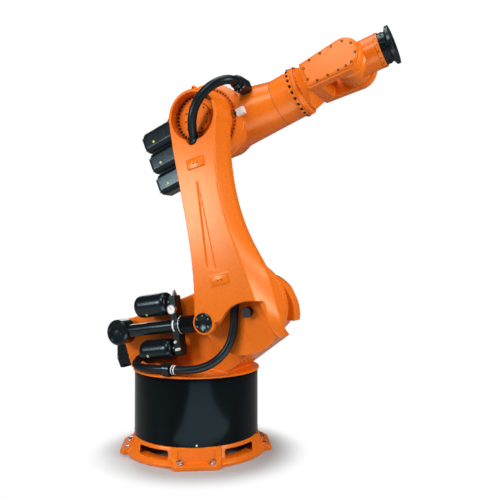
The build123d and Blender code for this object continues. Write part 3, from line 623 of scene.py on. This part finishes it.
# Wrist, hand and tool flange
wristSpec = {
    "skin": {"voxel": 0.0030, "rounds": 8, "keep": 0.24},
    "coverSkin": {"voxel": 0.0022, "rounds": 22, "keep": 0.35},
    "neck": 0.152, "seams": (-0.3525, -0.3365), "seamWidth": 0.0025,
    "screwsAt": -0.344, "count": 34, "screw": (0.0030, 0.0015), "sides": 8,
}
cast("wrist_housing", "wrist", "orangePaint", wristSpec["skin"])
for side in ("near", "far"):
    cast("wrist_cover_" + side, "wrist", "orangePaint", wristSpec["coverSkin"])
for index, along in enumerate(wristSpec["seams"]):
    seam(f"wrist_seam_{index}", outOf(wristAt, (along, 0, 0), "front"), wristSpec["neck"],
         wristSpec["seamWidth"], "wrist")
neckSpot = outOf(wristAt, (wristSpec["screwsAt"], 0, 0), "front")
# The neck's screws are near-black brown: painted shade of their sockets
setOut("wrist_neck_screws", capScrew(*wristSpec["screw"], sides=wristSpec["sides"]),
       spokesOf(neckSpot, wristSpec["neck"], wristSpec["count"]), "wrist", "pocketPaintedShade")

# The far cover is wider at its head, so its screws stand further out from there on
coverSpec = {
    "face": 0.2065, "screw": (0.0082, 0.003), "headAngles": (70, 27, -21, -66), "nearCircle": 0.081,
    "farCircle": 0.099, "farFrom": -0.15, "farLift": 1.12,
    "edge": [
        (-0.007, -0.080), (-0.060, -0.079), (-0.132, -0.076), (-0.205, -0.072), (-0.258, -0.036),
        (-0.258, 0.042), (-0.205, 0.073), (-0.126, 0.077), (-0.046, 0.080)],
}


def headPoints(circle):
    angles = [math.radians(angle) for angle in coverSpec["headAngles"]]
    return [(circle * math.cos(angle), circle * math.sin(angle)) for angle in angles]


nearPoints = headPoints(coverSpec["nearCircle"]) + coverSpec["edge"]
farPoints = headPoints(coverSpec["farCircle"])
for x, z in coverSpec["edge"]:
    farPoints.append((x, z * (coverSpec["farLift"] if x > coverSpec["farFrom"] else 1)))
# The cover screws are near-black brown: painted shade of their sockets
setOut("cover_screws", capScrew(*coverSpec["screw"]),
       [outOf(wristAt, (x, -coverSpec["face"], z), "near") for x, z in nearPoints]
       + [outOf(wristAt, (x, coverSpec["face"], z), "far") for x, z in farPoints], "wrist", "pocketPaintedShade")

handSpec = {
    "skin": {"voxel": 0.0028, "rounds": 8, "keep": 0.26}, "nose": 0.112, "seam": 0.188, "seamWidth": 0.0025,
    "screwsAt": 0.200, "count": 16, "screw": (0.0042, 0.002), "sides": 8,
}
cast("hand", "hand", "orangePaint", handSpec["skin"])
seam("hand_seam", outOf(handAt, (handSpec["seam"], 0, 0), "front"), handSpec["nose"], handSpec["seamWidth"],
     "hand")
# The hand's screws are near-black brown: painted shade of their sockets
setOut("hand_screws", capScrew(*handSpec["screw"], sides=handSpec["sides"]),
       spokesOf(outOf(handAt, (handSpec["screwsAt"], 0, 0), "front"), handSpec["nose"], handSpec["count"]),
       "hand", "pocketPaintedShade")

flangeSpec = {"waist": 0.1005, "screwsAt": 0.236, "count": 20, "screw": (0.0055, 0.003)}
machined("tool_flange", "tool_flange", "blackPaint", edge=0.002)
setOut("flange_neck_screws", capScrew(*flangeSpec["screw"]),
       spokesOf(outOf(handAt, (flangeSpec["screwsAt"], 0, 0), "front"), flangeSpec["waist"],
                flangeSpec["count"]), "tool_flange", "darkSteel")
print("wrist done")

# Counterbalance: cylinder, rod, two tanks, manifold and gauge
balancerLooks = {
    "balancer_cylinder": "blackPaint", "balancer_head": "blackPaint", "manifold": "castBlack",
    "accumulator_upper": "blackPaint", "accumulator_lower": "blackPaint",
}
for node, look in balancerLooks.items():
    machined(node, "balancer_cylinder", look, edge=0.003)
machined("balancer_rod", "balancer_rod", "brightSteel", edge=0.002)

gaugeSpec = {
    "at": (0.476, -0.038, 0.112), "steps": 48, "dialFace": 0.022, "needle": (0.003, 0.024, 0.0012),
    "needleEdge": 0.0004, "needleTilt": 38, "needleShift": 0.008,
    "dial": [(0, 0), (0, 0.022), (0.029, 0.022), (0.029, 0)],
    "bezel": [(0.027, 0.024), (0.029, 0.026), (0.032, 0.026), (0.033, 0.024), (0.033, 0.002), (0.027, 0.002)],
}
gaugeSpot = outOf(balancerAt, gaugeSpec["at"], "near")
turned("gauge_dial", gaugeSpec["dial"], gaugeSpot, "balancer_cylinder", "whitePlastic", gaugeSpec["steps"],
       nodes=("pressure_gauge",))
turned("gauge_bezel", gaugeSpec["bezel"], gaugeSpot, "balancer_cylinder", "zincSteel", gaugeSpec["steps"],
       closed=True)
needleSpot = (gaugeSpot @ moveBy(0, 0, gaugeSpec["dialFace"]) @ turnBy(gaugeSpec["needleTilt"], "Z")
              @ moveBy(0, gaugeSpec["needleShift"], 0))
block("gauge_needle", needleSpot, gaugeSpec["needle"], "balancer_cylinder", "darkSteel",
      gaugeSpec["needleEdge"], segments=1)

tankSpec = {
    "offset": 0.158, "plugReach": 0.081, "plug": (0.0085, 0.004),
    "plugs": {"upper": (1, 0.268, 50), "lower": (-1, 0.256, 18)},
}
plugSpots = []
for side, along, fall in tankSpec["plugs"].values():
    axisSpot = balancerAt @ moveBy(along, 0, side * tankSpec["offset"])
    plugSpots.append(axisSpot @ turnBy(90 + fall, "X") @ moveBy(0, 0, tankSpec["plugReach"]))
setOut("bottle_plugs", capScrew(*tankSpec["plug"]), plugSpots, "balancer_cylinder", "yellowPlastic")

# White rings round the cylinder's head: distance along it, radius and width
ringSpec = {
    "rings": {"collar_band": (0.466, 0.053, 0.012), "gland_ring": (0.512, 0.060, 0.004)}, "proud": 0.001,
    "steps": 64,
}
for name, (along, radius, width) in ringSpec["rings"].items():
    band(name, outOf(balancerAt, (along, 0, 0), "front"), radius, width, ringSpec["proud"],
         "balancer_cylinder", "whitePlastic", ringSpec["steps"])

fittingSpec = {
    "near": -0.038, "cap": (0.0095, 0.016), "caps": [(0.470, -0.108), (0.474, -0.160), (0.492, -0.158)],
    "screw": (0.007, 0.005), "screws": [(0.476, 0.186), (0.476, -0.190), (0.476, 0.062), (0.476, -0.066)],
    "valveAt": (0.478, 0, 0.205), "valveSteps": 24,
    "valve": [
        (0, 0), (0, 0.040), (0.006, 0.040), (0.007, 0.030), (0.011, 0.028), (0.011, 0.016), (0.016, 0.014),
        (0.016, 0)],
}
setOut("manifold_caps", capScrew(*fittingSpec["cap"]),
       [outOf(balancerAt, (x, fittingSpec["near"], z), "near") for x, z in fittingSpec["caps"]],
       "balancer_cylinder", "whitePlastic")
setOut("manifold_screws", capScrew(*fittingSpec["screw"]),
       [outOf(balancerAt, (x, fittingSpec["near"], z), "near") for x, z in fittingSpec["screws"]],
       "balancer_cylinder", "darkSteel")
turned("fill_valve", fittingSpec["valve"], outOf(balancerAt, fittingSpec["valveAt"], "up"),
       "balancer_cylinder", "zincSteel", fittingSpec["valveSteps"])
print("counterbalance done")


# Hoses: a NURBS line through the route's points, read back as a polyline and swept with shallow rings
def splinePoints(route):
    curve = bpy.data.curves.new("route", "CURVE")
    curve.dimensions = "3D"
    line = curve.splines.new("NURBS")
    line.points.add(len(route) - 1)
    for control, place in zip(line.points, route):
        control.co = (*place, 1)
    line.order_u = 3
    line.use_endpoint_u = True
    line.resolution_u = 24
    probe = bpy.data.objects.new("route", curve)
    scene.collection.objects.link(probe)
    mesh = bpy.data.meshes.new_from_object(probe.evaluated_get(bpy.context.evaluated_depsgraph_get()))
    points = [v.co.copy() for v in mesh.vertices]
    bpy.data.objects.remove(probe)
    return points


def evenly(points, step):
    spaced = [points[0]]
    carried = 0.0
    for start, end in zip(points, points[1:]):
        run = (end - start).length
        while carried + run >= step:
            start = start.lerp(end, (step - carried) / run)
            spaced.append(start)
            run = (end - start).length
            carried = 0.0
        carried += run
    spaced.append(points[-1])
    return spaced


def sweep(points, radii, sides=20):
    bm = bmesh.new()
    lastEdges = None
    heading = (points[1] - points[0]).normalized()
    turnedBy = heading.to_track_quat("Z", "Y").to_matrix().to_4x4()
    for index, point in enumerate(points):
        ahead = points[min(index + 1, len(points) - 1)] - points[max(index - 1, 0)]
        swing = heading.rotation_difference(ahead.normalized())
        turnedBy = swing.to_matrix().to_4x4() @ turnedBy
        heading = ahead.normalized()
        atEnd = index in (0, len(points) - 1)
        made = bmesh.ops.create_circle(bm, cap_ends=atEnd, segments=sides, radius=radii[index],
                                       matrix=Matrix.Translation(point) @ turnedBy)
        rim = [e for e in {e for v in made["verts"] for e in v.link_edges}
               if all(v in made["verts"] for v in e.verts)]
        if lastEdges:
            bmesh.ops.bridge_loops(bm, edges=lastEdges + rim)
        lastEdges = rim
    bmesh.ops.recalc_face_normals(bm, faces=bm.faces)
    return bm


def lengthOf(points):
    return sum((b - a).length for a, b in zip(points, points[1:]))


def hose(name, spec, place, node):
    route = [place @ Vector(point) for point in spec["route"]]
    line = evenly(splinePoints(route), spec["pitch"])
    radii = [spec["radius"] - (spec["ring"] if index % 2 else 0) for index in range(len(line))]
    made = piece(name, sweep(line, radii), None, "hoseRubber", smooth=60, nodes=(node,), ride=False)
    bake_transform(made)
    print(name, round(lengthOf(line), 3), "m long")


lowerHose = {
    "radius": 0.028, "ring": 0.0011, "pitch": 0.0045,
    "route": [
        (-0.296, -0.2153, 0.672), (-0.296, -0.269, 0.664), (-0.296, -0.326, 0.643), (-0.258, -0.388, 0.626),
        (-0.175, -0.428, 0.619), (-0.070, -0.445, 0.624), (0.043, -0.446, 0.630), (0.130, -0.440, 0.630),
        (0.215, -0.422, 0.635), (0.300, -0.392, 0.656), (0.370, -0.362, 0.700), (0.424, -0.340, 0.764),
        (0.457, -0.326, 0.840), (0.471, -0.321, 0.928), (0.476, -0.320, 1.030), (0.472, -0.320, 1.140),
        (0.446, -0.320, 1.247)],
    "bendFrom": (0.44, -0.33, 0.655), "bendTo": (0.50, -0.33, 1.03),
}
hose("lower_hose_tube", lowerHose, columnAt, "lower_hose")

upperHose = {
    "radius": 0.031, "ring": 0.0012, "pitch": 0.005,
    "route": [
        (-0.036, -0.358, 1.1265), (-0.036, -0.368, 1.166), (-0.006, -0.416, 1.236), (0.046, -0.448, 1.316),
        (0.122, -0.450, 1.388), (0.204, -0.428, 1.435), (0.276, -0.376, 1.459), (0.3077, -0.312, 1.463),
        (0.3077, -0.2523, 1.463)],
    "bendFrom": (-0.02, -0.40, 1.20), "bendTo": (0.27, -0.40, 1.44),
}
hose("upper_hose_tube", upperHose, linkAt, "upper_hose")

# Bellows over the rod, stretched between the cylinder's head and the rod's eye; a fold is given as
# points of (radius, share of the fold's length)
bellowsSpec = {
    "start": 0.524, "end": 0.628, "folds": 6, "bore": 0.0275, "inner": 0.048, "steps": 64,
    "fold": [(0.048, 0), (0.057, 0.35), (0.060, 0.5), (0.057, 0.65)],
}
foldLength = (bellowsSpec["end"] - bellowsSpec["start"]) / bellowsSpec["folds"]
bellowsProfile = [(bellowsSpec["bore"], bellowsSpec["start"])]
for fold in range(bellowsSpec["folds"]):
    foldStart = bellowsSpec["start"] + fold * foldLength
    bellowsProfile += [(radius, foldStart + share * foldLength) for radius, share in bellowsSpec["fold"]]
bellowsProfile += [(bellowsSpec["inner"], bellowsSpec["end"]), (bellowsSpec["bore"], bellowsSpec["end"])]
bellowsMesh = turnedMesh(bellowsProfile, bellowsSpec["steps"], closed=True)
bmesh.ops.transform(bellowsMesh, matrix=outOf(balancerAt, (0, 0, 0), "front"), verts=bellowsMesh.verts)
bellowsPiece = piece("bellows_folds", bellowsMesh, None, "hoseRubber", smooth=50, nodes=("bellows",),
                     ride=False)
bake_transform(bellowsPiece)
print("hoses and bellows done")

# Floor: near the base it takes the shadow, and further out the camera sees it white
floorSpec = {
    "size": 60.0, "shade": 0.50, "roughness": 0.5, "shadowAt": (0.02, -0.08, 0), "shadowFrom": 0.50,
    "shadowTo": 0.80,
}
floorMesh = bmesh.new()
bmesh.ops.create_grid(floorMesh, x_segments=1, y_segments=1, size=floorSpec["size"])
floor = bpy.data.objects.new("floor", keep("floor", floorMesh))
scene.collection.objects.link(floor)
floorMaterial, floorShader, floorTree = newMaterial("floorPale")
floorShader.inputs["Base Color"].default_value = (*(floorSpec["shade"],) * 3, 1)
floorShader.inputs["Roughness"].default_value = floorSpec["roughness"]
floorSpot = floorTree.nodes.new("ShaderNodeTexCoord")
floorReach = floorTree.nodes.new("ShaderNodeVectorMath")
floorReach.operation = "DISTANCE"
floorReach.inputs[1].default_value = floorSpec["shadowAt"]
floorFade = floorTree.nodes.new("ShaderNodeMapRange")
floorFade.interpolation_type = "SMOOTHSTEP"
floorFade.inputs["From Min"].default_value = floorSpec["shadowFrom"]
floorFade.inputs["From Max"].default_value = floorSpec["shadowTo"]
floorPath = floorTree.nodes.new("ShaderNodeLightPath")
floorShare = floorTree.nodes.new("ShaderNodeMath")
floorShare.operation = "MULTIPLY"
floorGlow = floorTree.nodes.new("ShaderNodeEmission")
floorMix = floorTree.nodes.new("ShaderNodeMixShader")
floorEnd = floorTree.nodes["Material Output"]
for start, end in (
        (floorSpot.outputs["Object"], floorReach.inputs[0]),
        (floorReach.outputs["Value"], floorFade.inputs["Value"]),
        (floorFade.outputs["Result"], floorShare.inputs[0]),
        (floorPath.outputs["Is Camera Ray"], floorShare.inputs[1]),
        (floorShare.outputs["Value"], floorMix.inputs["Fac"]),
        (floorShader.outputs["BSDF"], floorMix.inputs[1]),
        (floorGlow.outputs["Emission"], floorMix.inputs[2]),
        (floorMix.outputs["Shader"], floorEnd.inputs["Surface"])):
    floorTree.links.new(start, end)
floor.data.materials.append(floorMaterial)
print("floor done")

# World: white to the camera, and low in reflections, so that the blacks stay deep
skySpec = {"camera": 1.0, "glossy": 0.05, "diffuse": 0.20}
world = bpy.data.worlds.new("studio")
scene.world = world
world.use_nodes = True
sky = world.node_tree.nodes["Background"]
sky.inputs["Color"].default_value = (1, 1, 1, 1)
skyPath = world.node_tree.nodes.new("ShaderNodeLightPath")
skyGloss = world.node_tree.nodes.new("ShaderNodeMix")
skyGloss.inputs["A"].default_value = skySpec["diffuse"]
skyGloss.inputs["B"].default_value = skySpec["glossy"]
skyView = world.node_tree.nodes.new("ShaderNodeMix")
skyView.inputs["B"].default_value = skySpec["camera"]
for start, end in ((skyPath.outputs["Is Glossy Ray"], skyGloss.inputs["Factor"]),
                   (skyGloss.outputs["Result"], skyView.inputs["A"]),
                   (skyPath.outputs["Is Camera Ray"], skyView.inputs["Factor"]),
                   (skyView.outputs["Result"], sky.inputs["Strength"])):
    world.node_tree.links.new(start, end)

# Lamps: floorGleam lies on the floor, and shows only as the pale band in the drum
lampSpecs = {
    "left": {"at": (-3.3, -2.0, 2.0), "to": (0.0, 0, 1.5), "size": (1.1, 1.0), "power": 72},
    "high": {"at": (-2.0, -3.4, 4.6), "to": (0.1, 0, 1.4), "size": (1.6, 1.6), "power": 82},
    "right": {"at": (3.4, -2.7, 2.8), "to": (0.2, 0, 1.2), "size": (1.4, 2.0), "power": 116},
    "top": {"at": (0.0, -0.6, 5.6), "to": (0.1, 0, 1.2), "size": (2.6, 2.6), "power": 78},
    "rear": {"at": (-1.2, 4.2, 3.2), "to": (0.0, 0, 1.2), "size": (2.2, 2.2), "power": 60},
    "floorGleam": {"at": (0.25, -1.95, 0.01), "to": (0.25, -1.95, 1.0), "size": (1.6, 2.3), "power": 32,
                   "glossOnly": True},
}
for name, lamp in lampSpecs.items():
    light = bpy.data.lights.new(name, "AREA")
    light.shape = "RECTANGLE"
    light.size, light.size_y = lamp["size"]
    light.energy = lamp["power"]
    holder = bpy.data.objects.new(name, light)
    holder.visible_diffuse = not lamp.get("glossOnly", False)
    holder.visible_camera = False
    holder.location = lamp["at"]
    holder.rotation_euler = (Vector(lamp["to"]) - Vector(lamp["at"])).to_track_quat("-Z", "Y").to_euler()
    scene.collection.objects.link(holder)

# Camera at the photo's angle
cameraSpec = {"at": (0.0, -4.390, 1.345), "yaw": 5.09, "pitch": 1.09, "lens": 42.86, "sensor": 36.0}
cameraData = bpy.data.cameras.new("camera")
cameraData.lens = cameraSpec["lens"]
cameraData.sensor_width = cameraSpec["sensor"]
camera = bpy.data.objects.new("camera", cameraData)
camera.location = cameraSpec["at"]
camera.rotation_euler = (math.radians(90 + cameraSpec["pitch"]), 0, math.radians(-cameraSpec["yaw"]))
scene.collection.objects.link(camera)
scene.camera = camera
scene.view_settings.view_transform = "Standard"
print("light and camera done")
